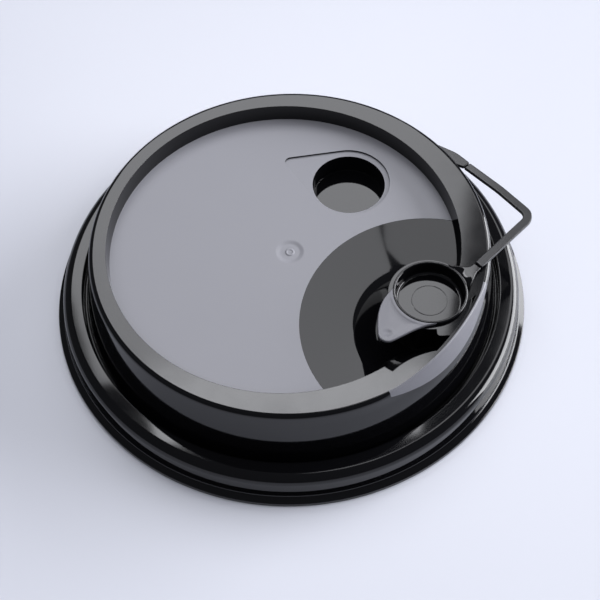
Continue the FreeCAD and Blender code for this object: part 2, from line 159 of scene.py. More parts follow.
def rounded_section(corners: list[Corner], turn: float = 9.0, run: float = 1.2) -> Section:
    """Open section through (r, z, radius) corners, with its exact facing on the left of travel.

    Each corner is an arc tangent to its two straights, where the first and last have none.
    Along a straight the facing is its left normal, and along an arc it turns evenly from one
    straight's normal to the next.

    Args:
        corners: Corners with the radius of each.
        turn: Largest turn in degrees between two points of an arc.
        run: Largest distance between two points of a straight.
    """
    points: list[np.ndarray] = []
    facing: list[np.ndarray] = []
    places = [np.array(c[:2], float) for c in corners]
    ways = [unit(b - a) for a, b in zip(places, places[1:])]
    start = places[0]
    for index, way in enumerate(ways):
        normal = left_of(way)
        last = index == len(ways) - 1
        bend = 0.0 if last else math.acos(float(np.clip(way @ ways[index + 1], -1, 1)))
        cut = 0.0 if last else max(corners[index + 1][2], 0.03) * math.tan(bend / 2)
        stop = places[index + 1] - way * cut
        count = max(1, int(math.ceil(np.hypot(*(stop - start)) / run)))
        for t in np.linspace(0, 1, count + 1):
            points.append(start + t * (stop - start))
            facing.append(normal)
        if last:
            break
        after = ways[index + 1]
        radius = cut / math.tan(bend / 2) if bend > 1e-6 else 0.0
        sign = math.copysign(1.0, way[0] * after[1] - way[1] * after[0])
        centre = stop + sign * radius * normal
        steps = max(1, int(math.ceil(math.degrees(bend) / turn)))
        for k in range(1, steps):
            angle = sign * bend * k / steps
            turned_normal = math.cos(angle) * normal + math.sin(angle) * left_of(normal)
            points.append(centre - sign * radius * turned_normal)
            facing.append(turned_normal)
        start = places[index + 1] + after * cut
    return Section(np.array(points), np.array(facing))


def rounded_plan(corners: list[Corner], step: float = 0.2) -> np.ndarray:
    """Closed plan outline through (x, y, radius) corners, anticlockwise, with points a step apart.

    Each corner is an arc tangent to its two straights: it starts a run of radius times the
    tangent of half the bend before the corner, and ends the same run after it.
    """
    spots = np.array([c[:2] for c in corners], float)
    ahead = unit(np.roll(spots, -1, axis=0) - spots)
    pieces = []
    for index, (x, y, radius) in enumerate(corners):
        before, after = ahead[index - 1], ahead[index]
        bend = math.atan2(before[0] * after[1] - before[1] * after[0], float(before @ after))
        start = np.array([x, y]) - radius * abs(math.tan(bend / 2)) * before
        if radius <= 0 or abs(bend) < 1e-6:
            pieces.append(start[None, :])
            continue
        centre = start + math.copysign(1.0, bend) * radius * left_of(before)
        angle = np.linspace(0, bend, max(3, int(abs(bend) * radius / step) + 2))[:, None]
        arm = start - centre
        pieces.append(centre + np.cos(angle) * arm + np.sin(angle) * left_of(arm))
    chain = np.vstack(pieces)
    after = np.roll(chain, -1, axis=0)
    if (chain[:, 0] * after[:, 1] - chain[:, 1] * after[:, 0]).sum() <= 0:
        chain = chain[::-1]
    filled = []
    for a, b in zip(chain, np.roll(chain, -1, axis=0)):
        count = max(1, int(math.ceil(np.hypot(*(b - a)) / step)))
        filled.append(a + (b - a) * np.linspace(0, 1, count, endpoint=False)[:, None])
    return np.vstack(filled)


def cubic(start: tuple, first: tuple, second: tuple, stop: tuple, count: int) -> np.ndarray:
    """Points of a cubic curve: (1-t)^3 a + 3(1-t)^2 t b + 3(1-t) t^2 c + t^3 d."""
    t = np.linspace(0, 1, count)[:, None]
    a, b, c, d = (np.array(p, float) for p in (start, first, second, stop))
    return (1 - t) ** 3 * a + 3 * (1 - t) ** 2 * t * b + 3 * (1 - t) * t ** 2 * c + t ** 3 * d


def eased_ramp(x: np.ndarray, ease: float) -> np.ndarray:
    """Ramp that is 0 before 0 and rises one in one after it, through a bend of a given width."""
    return (x + np.sqrt(x * x + ease * ease)) / 2


def eased_min(a: np.ndarray, b: np.ndarray, ease: float) -> np.ndarray:
    """Lower of two values, blended where they are closer than about ease."""
    return (a + b - np.sqrt((a - b) ** 2 + ease * ease)) / 2


def eased_step(x: np.ndarray) -> np.ndarray:
    """Smooth step from 0 at 0 to 1 at 1: three times the square less twice the cube."""
    t = np.clip(x, 0, 1)
    return t * t * (3 - 2 * t)


def rounded_drop(depth: np.ndarray, radius: float) -> np.ndarray:
    """How far a rounded edge falls below its face at a depth in from the outline."""
    inside = np.clip(radius - depth, 0, radius)
    return radius - np.sqrt(np.maximum(radius * radius - inside * inside, 0))


def halved(low: np.ndarray, high: np.ndarray, holds: PlanHeight) -> np.ndarray:
    """Values between two limits up to which a test holds, found by halving."""
    for _ in range(30):
        middle = (low + high) / 2
        good = holds(middle)
        low, high = np.where(good, middle, low), np.where(good, high, middle)
    return low


def facing_up(height: PlanHeight, plan: np.ndarray, step: float) -> np.ndarray:
    """Upward unit normals of a height: minus its slope in x and y, with one in z."""
    slope = [(height(plan + shift) - height(plan - shift)) / (2 * step)
             for shift in ([step, 0.0], [0.0, step])]
    normal = np.column_stack([-slope[0], -slope[1], np.ones(len(plan))])
    return normal / np.linalg.norm(normal, axis=1, keepdims=True)


# ---------------------------------------------------------------- meshes


def make_object(name: str, points: np.ndarray, faces: np.ndarray, normals: np.ndarray | None,
                materials: list, face_material: np.ndarray | None = None) -> bpy.types.Object:
    """Puts points in millimetres into a new smooth object at the origin, linked to the scene.

    Args:
        name: Name of the object and its mesh.
        points: Vertices, one row each.
        faces: Triangles or quads, one row each.
        normals: Facing of each vertex, or none for plain smooth shading.
        materials: Materials for the slots.
        face_material: Slot of each face, or none for the first.
    """
    mesh = bpy.data.meshes.new(name)
    mesh.vertices.add(len(points))
    mesh.vertices.foreach_set("co", (points * MM).astype(np.float32).ravel())
    mesh.loops.add(faces.size)
    mesh.loops.foreach_set("vertex_index", faces.astype(np.int32).ravel())
    mesh.polygons.add(len(faces))
    starts = np.arange(0, faces.size, faces.shape[1], dtype=np.int32)
    mesh.polygons.foreach_set("loop_start", starts)
    for material in materials:
        mesh.materials.append(material)
    if face_material is not None:
        mesh.polygons.foreach_set("material_index", face_material.astype(np.int32))
    mesh.update(calc_edges=True)
    mesh.polygons.foreach_set("use_smooth", np.ones(len(faces), dtype=bool))
    if normals is not None:
        length = np.maximum(np.linalg.norm(normals, axis=1, keepdims=True), 1e-12)
        mesh.normals_split_custom_set_from_vertices((normals / length).astype(np.float32))
    made = bpy.data.objects.new(name, mesh)
    bpy.context.scene.collection.objects.link(made)
    return made


def grid_faces(rows: int, columns: int) -> np.ndarray:
    """Quads of a grid stored row by row, with the last row joined to the first."""
    row = np.arange(rows)[:, None]
    column = np.arange(columns - 1)[None, :]
    a = row * columns + column
    b = (row + 1) % rows * columns + column
    return np.stack([a + 1, b + 1, b, a], axis=-1).reshape(-1, 4)


def split_quads(quads: np.ndarray) -> np.ndarray:
    """Two triangles for each quad."""
    return np.vstack([quads[:, [0, 1, 2]], quads[:, [0, 2, 3]]])


def half_edges(triangles: np.ndarray) -> np.ndarray:
    """The three directed sides of every triangle, as rows of start and end."""
    return np.vstack([triangles[:, [0, 1]], triangles[:, [1, 2]], triangles[:, [2, 0]]])


def turned(name: str, centre: Circle, section: Section, materials: list,
           count: int = 192) -> bpy.types.Object:
    """Turns a section about the vertical axis through a circle's centre, in a count of steps."""
    angle = (np.arange(count) * TURN / count)[:, None]
    (r, z), (out, up) = section.points.T[:, None, :], section.facing.T[:, None, :]
    points = np.stack([
        centre.x + r * np.cos(angle), centre.y + r * np.sin(angle), z + 0 * angle], axis=-1)
    normals = np.stack([out * np.cos(angle), out * np.sin(angle), up + 0 * angle], axis=-1)
    index = np.arange(points.shape[0] * points.shape[1]).reshape(points.shape[:2])
    index[:, r[0] < 1e-6] = index[0, r[0] < 1e-6]
    faces = index.ravel()[split_quads(grid_faces(count, r.shape[1]))]
    whole = (faces != np.roll(faces, -1, axis=1)).all(axis=1)
    used, back = np.unique(faces[whole].ravel(), return_inverse=True)
    return make_object(name, points.reshape(-1, 3)[used], back.reshape(-1, 3),
                       normals.reshape(-1, 3)[used], materials)


def plan_triangles(outlines: list[tuple[np.ndarray, bool]],
                   dots: np.ndarray) -> tuple[np.ndarray, np.ndarray]:
    """Plan points and anticlockwise triangles that keep every outline as edges.

    Args:
        outlines: Chains of plan points, each with whether it closes on itself.
        dots: Further points to use.
    """
    places: list[tuple[float, float]] = []
    edges: list[tuple[int, int]] = []
    for chain, closed in outlines:
        first = len(places)
        places.extend(map(tuple, chain.tolist()))
        index = np.arange(first, len(places))
        pairs = np.column_stack([index, np.roll(index, -1)])
        edges.extend(map(tuple, (pairs if closed else pairs[:-1]).tolist()))
    places.extend(map(tuple, dots.tolist()))
    result = delaunay_2d_cdt([Vector(p) for p in places], edges, [], 0, 1e-5)
    plan = np.array([tuple(p) for p in result[0]])
    triangles = np.array([tuple(f) for f in result[2] if len(f) == 3])
    a, b, c = (plan[triangles[:, k]] for k in range(3))
    area = (b[:, 0] - a[:, 0]) * (c[:, 1] - a[:, 1]) - (b[:, 1] - a[:, 1]) * (c[:, 0] - a[:, 0])
    triangles[area < 0] = triangles[area < 0][:, ::-1]
    return plan, triangles[np.abs(area) > 1e-9]


@dataclass(frozen=True)
class Plate:
    """Thin piece over a closed plan outline, with a top and a bottom given as heights.

    Both heights are functions of the plan point and of its depth in from the outline, so that
    edges round over. The point (x, y) at depth d lies at top(x, y, d) and at bottom(x, y, d).
    """

    outline: np.ndarray
    top: EdgedHeight
    bottom: EdgedHeight
    depths: tuple[float, ...] = (0.02, 0.05, 0.1, 0.16, 0.24, 0.4, 0.65)
    slope_step: float = 0.01

    def depth(self, plan: np.ndarray) -> np.ndarray:
        """Distance of plan points from the outline's nearest side."""
        way = np.roll(self.outline, -1, axis=0) - self.outline
        span = np.maximum((way * way).sum(1), 1e-12)
        found = np.full(len(plan), np.inf)
        for place, side, length in zip(self.outline, way, span):
            t = np.clip(((plan - place) @ side) / length, 0, 1)[:, None]
            found = np.minimum(found, np.hypot(*(plan - place - t * side).T))
        return found

    def facing(self, plan: np.ndarray, height: EdgedHeight) -> np.ndarray:
        """Upward facing of one of the plate's two heights at plan points."""
        return facing_up(lambda near: height(near, self.depth(near)), plan, self.slope_step)

    def build(self, name: str, materials: list) -> bpy.types.Object:
        """Builds the closed plate: top, bottom and the side between them."""
        ahead = np.roll(self.outline, -1, axis=0) - np.roll(self.outline, 1, axis=0)
        inward = unit(left_of(ahead))
        rows = []
        for depth in self.depths:
            row = self.outline + depth * inward
            rows.append(row[(self.depth(row) > 0.96 * depth) & in_outline(self.outline, row)])
        plan, triangles = plan_triangles([(self.outline, True)], np.vstack(rows))
        triangles = triangles[in_outline(self.outline, plan[triangles].mean(axis=1))]
        used, back = np.unique(triangles.ravel(), return_inverse=True)
        plan, triangles = plan[used], back.reshape(-1, 3)
        count = len(plan)
        depth = self.depth(plan)
        depth[depth < 1e-4] = 0.0
        half = half_edges(triangles).tolist()
        known = set(map(tuple, half))
        rim = np.array([edge for edge in half if (edge[1], edge[0]) not in known])
        out = -left_of(unit(plan[rim[:, 1]] - plan[rim[:, 0]]))
        edge_out = np.zeros((count, 2))
        np.add.at(edge_out, rim[:, 0], out)
        np.add.at(edge_out, rim[:, 1], out)
        on_rim = np.hypot(*edge_out.T) > 0
        edge_out[on_rim] = unit(edge_out[on_rim])
        facings = [self.facing(plan, self.top), -self.facing(plan, self.bottom)]
        for facing in facings:
            facing[on_rim, :2], facing[on_rim, 2] = edge_out[on_rim], 0.0
        sides = np.column_stack([rim[:, 0], rim[:, 0] + count, rim[:, 1] + count, rim[:, 1]])
        points = np.vstack([
            np.column_stack([plan, height(plan, depth)]) for height in (self.top, self.bottom)])
        faces = np.vstack([triangles, triangles[:, ::-1] + count, split_quads(sides)])
        return make_object(name, points, faces, np.vstack(facings), materials)


# ---------------------------------------------------------------- finishes


def linear(hex_colour: str) -> tuple[float, float, float, float]:
    """Scene-linear colour of an sRGB hex colour."""
    parts = [int(hex_colour[i:i + 2], 16) / 255 for i in (1, 3, 5)]
    return (*(p / 12.92 if p <= 0.04045 else ((p + 0.055) / 1.055) ** 2.4 for p in parts), 1.0)


def empty_tree(owner: bpy.types.Material | bpy.types.World) -> bpy.types.NodeTree:
    """Turns on the nodes of a material or world, and clears them."""
    owner.use_nodes = True
    owner.node_tree.nodes.clear()
    return owner.node_tree


def add_node(tree: bpy.types.NodeTree, kind: str, settings: dict | None = None,
             links: dict | None = None) -> bpy.types.Node:
    """Adds a node with its settings and links.

    Args:
        tree: Node tree to add to.
        kind: Blender's name of the node type.
        settings: Attributes by name, or socket values by socket name.
        links: Output sockets by the name of the input that each goes to.
    """
    node = tree.nodes.new(kind)
    for key, value in (settings or {}).items():
        if hasattr(node, key):
            setattr(node, key, value)
        else:
            node.inputs[key].default_value = value
    for key, output in (links or {}).items():
        tree.links.new(output, node.inputs[key])
    return node


@dataclass(frozen=True)
class MouldedPlastic:
    """Injection-moulded black polypropylene, as smooth as the face of the mould was polished.

    The eye sees a nearly black body with a clear reflection, and a faint unevenness where the
    melt shrank. Roughness varies a little over a few millimetres, as handling leaves it. Where a
    finish's colour is lighter than black, that colour is painted sheen standing in for reflected
    light.
    """

    finish: str
    colour: str
    roughness: float
    patchiness: float
    ripple_mm: float
    ripple_height_mm: float = 0.01
    handled_mm: float = 9.0
    edge_mm: float = 0.12
    ior: float = 1.49

    def material(self) -> bpy.types.Material:
        """Builds the material's nodes."""
        made = bpy.data.materials.new(f"moulded_polypropylene_{self.finish}")
        tree = empty_tree(made)
        place = {"Vector": add_node(tree, "ShaderNodeTexCoord").outputs["Object"]}
        ripple = add_node(tree, "ShaderNodeTexNoise", {
            "Scale": 1 / (self.ripple_mm * MM), "Detail": 2.0, "Roughness": 0.4}, place)
        edge = add_node(tree, "ShaderNodeBevel", {"samples": 4, "Radius": self.edge_mm * MM})
        surface = add_node(tree, "ShaderNodeBump", {
            "Strength": 1.0, "Distance": self.ripple_height_mm * MM},
            {"Height": ripple.outputs["Fac"], "Normal": edge.outputs["Normal"]})
        handled = add_node(tree, "ShaderNodeTexNoise", {
            "Scale": 1 / (self.handled_mm * MM), "Detail": 4.0, "Roughness": 0.6}, place)
        rough = add_node(tree, "ShaderNodeMapRange", {
            "From Min": 0.3, "From Max": 0.7,
            "To Min": self.roughness - self.patchiness, "To Max": self.roughness + self.patchiness},
            {"Value": handled.outputs["Fac"]})
        shader = add_node(tree, "ShaderNodeBsdfPrincipled", {
            "Base Color": linear(self.colour), "IOR": self.ior},
            {"Roughness": rough.outputs["Result"], "Normal": surface.outputs["Normal"]})
        add_node(tree, "ShaderNodeOutputMaterial", None, {"Surface": shader.outputs["BSDF"]})
        return made


@dataclass(frozen=True)
class Finishes:
    """The lid's moulded finishes."""

    gloss: bpy.types.Material
    ring: bpy.types.Material
    disc: bpy.types.Material
    strap: bpy.types.Material
    frosted_painted_sheen: bpy.types.Material

    @staticmethod
    def build() -> "Finishes":
        """Makes the materials, in the order of the fields."""
        return Finishes(*(plastic.material() for plastic in (
            MouldedPlastic("polished", "#070709", 0.05, 0.01, 14.0),
            MouldedPlastic("rubbed", "#0a0a0c", 0.085, 0.02, 16.0),
            # The disc's light grey is painted sheen: a pale base colour on the black plastic that
            # stands in for the lamps' reflection.
            MouldedPlastic("satin_painted_sheen", "#88888e", 0.5, 0.015, 20.0),
            # The strap's base is a little lighter than the lid's black: painted sheen that
            # brightens the strip.
            MouldedPlastic("flexed_painted_sheen", "#161619", 0.2, 0.03, 10.0),
            # The lip's and the tab's grey is painted sheen: a lighter base colour that stands in
            # for light reflected by the black plastic.
            MouldedPlastic("frosted_painted_sheen", "#69696f", 0.3, 0.02, 16.0),
        )))


# ---------------------------------------------------------------- the lid's body


class Zone(Enum):
    """Parts of the crown's top in plan."""

    RING = 0
    LAND = 1
    DISC = 2
    FAN = 3
    SPOUT = 4
    PARKING = 5
    WELL = 6
    BORE = 7


@dataclass(frozen=True)
class CrownTop:
    """Heights of the crown's top in plan, and of its underside when drawn in by the wall.

    Arrays of zones hold the number of a Zone for each plan point or triangle.
    """

    skin: float = 0.0
    top: float = CROWN_LEVEL
    wall: float = WALL
    disc: Circle = Circle(-1.2, 0.5, 34.6)
    disc_level: float = 14.9
    fan: Circle = Circle(26.5, -17.5, 25.0)
    step_radius: float = 14.8
    step_level: float = 12.9
    step_ease: float = 0.25
    floor_radius: float = 10.5
    floor_level: float = 11.0
    floor_ease: float = 0.5
    spout_zone: Circle = Circle(26.5, -17.5, 15.0)
    lip_inside: Circle = Circle(-11.49, 9.64, 52.12)
    cushion: Circle = Circle(29.0, -41.0, 15.3)
    cushion_slope: float = 0.7105
    slope_reach: float = 7.0
    foot_bend: float = 0.12
    bridge_start: tuple[float, float] = (33.9, -14.65)
    bridge_heading: float = 42.0
    bridge_back: float = -4.7
    bridge_reach: float = 9.0
    boss: Circle = Circle(26.35, -13.3, 7.9)
    bore: Circle = Circle(26.35, -13.3, 6.75)
    land_corner: tuple[float, float] = (27.0, -22.65)
    land_round: float = 0.6
    land_near: tuple[float, float] = (34.75, -18.35)
    well: Circle = Circle(12.3, 17.0, 7.4)
    well_level: float = 10.2
    parking: Drop = Drop(Circle(12.3, 17.4, 8.4), Circle(0.6, 22.9, 1.3))
    parking_depth: float = 0.4
    gate_radius: float = 2.9
    gate_slope: float = 1.1
    gate_depth: float = 0.2
    nub_radius: float = 0.95
    nub_hollow: float = 0.6
    nub_slope: float = 0.2
    nub_height: float = 0.14
    slope_step: float = 0.02
    plan_step: float = 0.45
    fine_step: float = 0.225
    dot_step: float = 0.6

    def bridge_way(self) -> np.ndarray:
        """Unit direction of the bridge's edge."""
        heading = math.radians(self.bridge_heading)
        return np.array([math.cos(heading), math.sin(heading)])

    def bridge_side(self, plan: np.ndarray) -> np.ndarray:
        """Distance of plan points to the left of the bridge's edge, which ends at the boss."""
        local, way = plan - self.bridge_start, self.bridge_way()
        return np.where(local @ way > self.bridge_back, local @ left_of(way), -1.0)

    def zones(self, plan: np.ndarray) -> np.ndarray:
        """Zone of each plan point, where a later layer lies over an earlier one."""
        s = self.skin
        pocket = self.disc.within(plan, s)
        spout = (
            self.spout_zone.within(plan, s)
            & self.lip_inside.within(plan, s)
            & ~self.cushion.within(plan, -s)
            & (self.bridge_side(plan) < s)
        )
        sloped = self.spout_zone.within(plan, -s) & self.cushion.within(plan, self.slope_reach)
        layers = [
            (spout, Zone.SPOUT), (pocket, Zone.DISC), (pocket & self.fan.within(plan), Zone.FAN),
            (pocket & sloped, Zone.SPOUT),
        ]
        if s == 0:
            parked = pocket & in_outline(self.parking.points(self.fine_step), plan)
            land = (spout | pocket) & (self.boss.within(plan) | self.on_land(plan))
            layers += [(parked, Zone.PARKING), (land, Zone.LAND)]
        layers += [(self.well.within(plan, s), Zone.WELL), (self.bore.within(plan), Zone.BORE)]
        zone = np.full(len(plan), Zone.RING.value)
        for mask, part in layers:
            zone[mask] = part.value
        return zone

    def on_land(self, plan: np.ndarray) -> np.ndarray:
        """Whether plan points are on the flat land by the boss, whose left corner is rounded."""
        local = plan - self.boss.centre
        far = np.array(self.land_near) - self.boss.centre
        below = local[:, 1] * far[0] < local[:, 0] * far[1]
        inset = np.minimum(plan - self.land_corner - self.land_round, 0)
        return below & (np.hypot(*inset.T) < self.land_round) & (plan[:, 0] < self.land_near[0])

    def land_outline(self) -> np.ndarray:
        """Open outline of the land, from the boss round its left corner and back to the boss."""
        (left, front), (right, back) = self.land_corner, self.land_near
        bend = Circle(left + self.land_round, front + self.land_round, self.land_round)
        marks = np.vstack([
            [left, self.boss.y - 7.0], bend.at(np.radians(np.arange(180.0, 270.1, 15.0))),
            [right, front], [right, back], self.boss.centre])
        runs = []
        for start, stop in zip(marks[:-1], marks[1:]):
            count = max(1, round(float(np.hypot(*(stop - start))) / self.plan_step))
            runs.append(start + np.arange(count)[:, None] / count * (stop - start))
        chain = np.vstack(runs)
        return chain[~self.bore.within(chain, 0.3)]

    def slope_level(self, reach: np.ndarray) -> np.ndarray:
        """Level of the slope at distances from its centre."""
        return self.top - (reach - self.cushion.radius + self.skin) / self.cushion_slope

    def slope_foot(self, out: float) -> np.ndarray:
        """Plan curve where the slope meets the recess, moved outwards from the slope's centre."""
        turn = np.radians(np.arange(60.0, 150.0, math.degrees(self.plan_step / 20.0)))
        way = np.column_stack([np.cos(turn), np.sin(turn)])

        def clear(reach: np.ndarray) -> np.ndarray:
            recess = self.dish(self.cushion.centre + reach[:, None] * way)
            return self.slope_level(reach) > np.minimum(recess, self.disc_level) - self.skin

        low = np.full(len(turn), self.cushion.radius)
        return self.cushion.centre + (halved(low, low + 6.0, clear) + out)[:, None] * way

    def dish(self, plan: np.ndarray) -> np.ndarray:
        """Height of the recess: flat floor, steep cone to the step, shallow cone to the disc."""
        r = self.fan.distance(plan)
        steep = (self.step_level - self.floor_level) / (self.step_radius - self.floor_radius)
        shallow = (self.disc_level - self.step_level) / (self.fan.radius - self.step_radius)
        rise = steep * eased_ramp(r - self.floor_radius, self.floor_ease)
        flatter = (steep - shallow) * eased_ramp(r - self.step_radius, self.step_ease)
        return self.floor_level + rise - flatter

    def gate_mark(self, plan: np.ndarray) -> np.ndarray:
        """Rise of the gate mark over the disc: a shallow dimple with a hollow nub in it."""
        r = np.hypot(plan[:, 0], plan[:, 1])
        dimple = eased_step((self.gate_radius - r) / self.gate_slope)
        hollow = eased_step((self.nub_hollow - r) / self.nub_slope)
        nub = eased_step((self.nub_radius - r) / self.nub_slope) - 0.6 * hollow
        return self.nub_height * nub - self.gate_depth * dimple

    def height(self, plan: np.ndarray, zone: np.ndarray) -> np.ndarray:
        """Height of the surface at plan points that belong to the given zones."""
        s = self.skin
        disc, top = self.disc_level - s, self.top - s
        dish = self.dish(plan) - s
        levels = {
            Zone.DISC: disc + (self.gate_mark(plan) if s == 0 else 0.0),
            Zone.FAN: np.minimum(dish, disc),
            Zone.SPOUT: np.clip(self.slope_level(self.cushion.distance(plan)), dish, top),
            Zone.PARKING: self.disc_level - self.parking_depth,
            Zone.WELL: self.well_level - s,
        }
        return np.select([zone == part.value for part in levels], list(levels.values()), top)

    def facing(self, plan: np.ndarray, zone: np.ndarray) -> np.ndarray:
        """Upward facing of the surface at plan points that belong to the given zones."""
        return facing_up(lambda near: self.height(near, zone), plan, self.slope_step)

    def outlines(self) -> list[tuple[np.ndarray, bool]]:
        """Every plan curve at which the zones change, with whether it closes on itself."""
        s, step, fine = self.skin, self.plan_step, self.fine_step
        found: list[tuple[np.ndarray, bool]] = []

        def keep(chain: np.ndarray, mask: np.ndarray, closed: bool = True) -> None:
            """Keeps the parts of a chain where a mask holds, each as an open chain."""
            if mask.all():
                found.append((chain, closed))
                return
            start = int(np.argmin(mask)) if closed else 0
            chain, mask = np.roll(chain, -start, axis=0), np.roll(mask, -start)
            change = np.flatnonzero(np.diff(np.concatenate([[0], mask.astype(int), [0]])))
            for first, last in change.reshape(-1, 2):
                if last - first > 1:
                    found.append((chain[first:last], False))

        near = self.spout_zone.grown(s + 1.0)
        disc = self.disc.grown(s)
        found.append((disc.points(step), True))
        fan = self.fan.points(step)
        keep(fan, disc.within(fan, 1.0))
        recess = self.spout_zone.grown(s).points(step)
        keep(recess, ~disc.within(recess, -1.0))
        end = self.spout_zone.grown(-s).points(step)
        keep(end, self.cushion.within(end, self.slope_reach) & disc.within(end, 1.0))
        for circle in (self.lip_inside.grown(s), self.cushion.grown(-s)):
            chain = circle.points(step)
            keep(chain, near.within(chain))
        for out in (-self.foot_bend, 0.0, self.foot_bend):
            foot = self.slope_foot(out)
            keep(foot, near.within(foot, -0.8), False)
        along = np.arange(self.bridge_back, self.bridge_reach, step)[:, None]
        line = self.bridge_start + s * left_of(self.bridge_way()) + along * self.bridge_way()
        keep(line, near.within(line), False)
        found.append((self.well.grown(s).points(fine), True))
        found.append((self.bore.points(fine), True))
        if s == 0:
            found.append((self.boss.points(fine), True))
            found.append((self.land_outline(), False))
            found.append((self.parking.points(fine), True))
        return found

    def dots(self) -> np.ndarray:
        """Plan points on circles about the recess, about the slope and round the gate mark.

        They lie closer together where the surface bends: at the floor's edge, at the step and
        within the gate mark.
        """
        def circles(centre: Circle, apart: float, *spans: Corner) -> np.ndarray:
            """Points apart on circles whose radii run over spans of start, stop and step."""
            radii = np.concatenate([np.arange(*span) for span in spans])
            return np.vstack([Circle(centre.x, centre.y, float(r)).points(apart) for r in radii])

        step = self.dot_step
        recess = circles(self.fan, step, (4.0, 10.0, 1.0), (10.0, 11.4, 0.2), (11.8, 14.2, 0.6),
                         (14.4, 15.3, 0.12), (15.9, 25.0, 0.9))
        slope = circles(self.cushion, step, (15.6, 21.0, 0.4))
        gate = circles(Circle(0.0, 0.0, 0.0), 0.12, (0.2, 1.2, 0.08), (1.4, 3.1, 0.12))
        return np.vstack([recess, slope[self.spout_zone.within(slope)], gate])


@dataclass
class LidBody:
    """Rim, skirt, crown wall, ring, disc, recess, boss and well of the one moulding."""

    finishes: Finishes
    steps_round: int = 440
    wall: float = WALL
    top: float = CROWN_LEVEL
    edge_round: float = 0.8
    crown_radius: float = 39.04
    crown_draft: float = 2.3
    channel_floor: float = 4.6
    join: float = 6.6
    lip: Circle = Circle(-11.49, 9.64, 52.9)
    lip_slope: float = 0.43
    lip_blend: float = 0.5
    lip_blend_depth: float = 3.0
    lip_round: float = 0.25
    lip_lowest: float = 10.0
    pocket_draft: float = 0.081
    step_draft: float = 0.02
    smooth_limit: float = 28.0
    made: list[bpy.types.Object] = field(default_factory=list)

    def wall_radius(self, level: np.ndarray | float) -> np.ndarray | float:
        """Radius of the crown's drafted wall at a level: it grows evenly downwards."""
        drafted = (self.top - level) / (self.top - self.channel_floor)
        return self.crown_radius + self.crown_draft * drafted

    def lip_radius(self, level: np.ndarray) -> np.ndarray:
        """Radius of the lip's cone about its own centre at a level."""
        return self.lip.radius + self.lip_slope * (self.top - level)

    def lip_reach(self, angle: np.ndarray, radius: np.ndarray) -> np.ndarray:
        """Distance from the axis at which a ray meets a circle about the lip's centre."""
        toward = self.lip.x * np.cos(angle) + self.lip.y * np.sin(angle)
        away = self.lip.x ** 2 + self.lip.y ** 2
        return toward + np.sqrt(toward ** 2 - away + radius ** 2)

    def lip_foot(self, angle: np.ndarray) -> np.ndarray:
        """Level at each angle where the lip's cone runs out into the drafted wall."""
        return halved(
            np.full_like(angle, self.join), np.full_like(angle, self.top),
            lambda level: self.lip_reach(angle, self.lip_radius(level)) >= self.wall_radius(level))

    def crown_side(self, angle: np.ndarray, level: np.ndarray, skin: float) -> np.ndarray:
        """Radius of the crown's side, the nearer of the drafted wall and the lip's leaning cone.

        The wall is a circle about the lid's axis. The cone is a circle about a centre beyond the
        axis whose radius grows downwards. Both round over into the top.

        Args:
            angle: Angles round the axis, as a column.
            level: Levels, as a row.
            skin: How far the surface is drawn in.

        Returns:
            Radii, one row for each angle.
        """
        top = self.top - skin

        def rounding(edge: float) -> np.ndarray:
            radius = max(edge - skin, 0.1)
            rise = np.clip(level - (top - radius), 0, radius)
            return radius - np.sqrt(radius * radius - rise * rise)

        wall = self.wall_radius(level) - skin - rounding(self.edge_round)
        cone = self.lip_radius(level) - skin - rounding(self.lip_round)
        blend = 0.12 + self.lip_blend * eased_step((top - level) / self.lip_blend_depth)
        return eased_min(wall + 0 * angle, self.lip_reach(angle, cone), blend)

    def rim_section(self) -> Section:
        """Section from the crown wall's foot round the channel, the rim and the skirt inside."""
        join, floor, wall = self.join, self.channel_floor, self.wall
        under = floor - wall
        return rounded_section([
            (self.wall_radius(join), join, 0),
            (self.wall_radius(floor), floor, 0.3),
            (41.8, floor, 0.3),
            (42.0, 6.95, 0.35),
            (46.0, 6.95, 1.9),
            (46.3, 2.4, 0.4),
            (46.45, 1.5, 0.6),
            (47.75, 1.0, 0.25),
            (47.75, 0.0, 0.15),
            (46.77, 0.0, 0.1),
            (45.6, 1.8, 0.1),
            (45.0, 2.7, 0.15),
            (45.45, 3.24, 0.1),
            (45.3, 6.25, 1.1),
            (42.7, 6.25, 0.3),
            (42.5, under, 0.6),
            (self.wall_radius(under) - wall, under, 0.6),
            (self.wall_radius(join) - wall, join, 0),
        ])

    def outer_levels(self, angle: np.ndarray) -> tuple[np.ndarray, np.ndarray]:
        """Levels of the grid's columns down the outside, where one column follows the lip's foot.

        Args:
            angle: Angles round the axis, as a column.

        Returns:
            Levels, one row for each angle, and how many columns of faces each angle has on the lip.
        """
        low = self.top - self.edge_round
        levels = np.concatenate([
            low + self.edge_round * np.sin(np.linspace(QUARTER, 0, 12)),
            self.top - self.lip_round * (1 - np.sin(np.linspace(QUARTER, 0, 6)[1:])),
            np.arange(low - 0.3, self.lip_lowest, -0.3),
            np.arange(self.lip_lowest, self.join + 0.01, -0.6), [self.join],
        ])
        levels = np.unique(np.round(levels, 4))[::-1][None, :]
        foot = np.minimum(self.lip_foot(angle), low - 0.05)
        knee_column = int(np.argmin(np.abs(levels - (low + self.join) / 2)))
        knee = levels[0, knee_column]
        upper = foot + (levels - knee) / (low - knee) * (low - foot)
        lower = self.join + (levels - self.join) / (knee - self.join) * (foot - self.join)
        levels = np.where(levels >= low, levels, np.where(levels >= knee, upper, lower))
        return levels, np.where(foot[:, 0] < low - 0.06, knee_column, 0)

